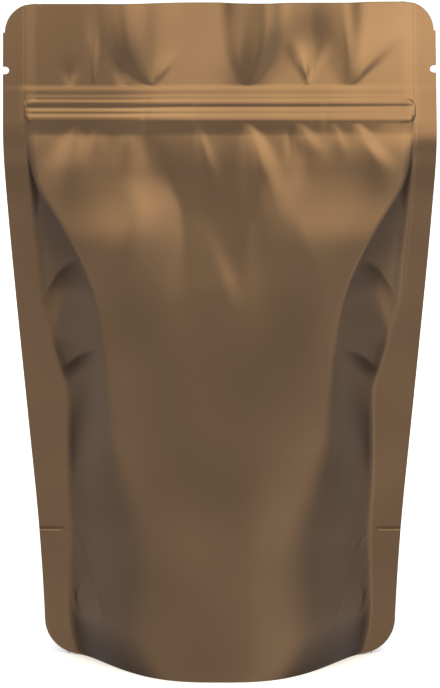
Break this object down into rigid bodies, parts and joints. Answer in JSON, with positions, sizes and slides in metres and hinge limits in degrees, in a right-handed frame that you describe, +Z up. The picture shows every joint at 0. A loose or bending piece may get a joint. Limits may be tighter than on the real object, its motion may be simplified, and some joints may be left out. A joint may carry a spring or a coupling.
{
  "type": "stand-up pouch",
  "caption": "Filled stand-up pouch of matt bronze metallised film, with welded side seals, a press-to-close zip, tear notches and a bottom gusset.",
  "frame": {"origin": "on the floor, under the middle of the foot", "axes": "+Z up towards the mouth, -Y out of the front panel, X along the width"},
  "size_m": [0.14, 0.0632, 0.216],
  "materials": {
    "film": "satin bronze metallised film laminate with a matt lacquer"
  },
  "bodies": {
    "root": {"pouch": "film"}
  },
  "joints": []
}
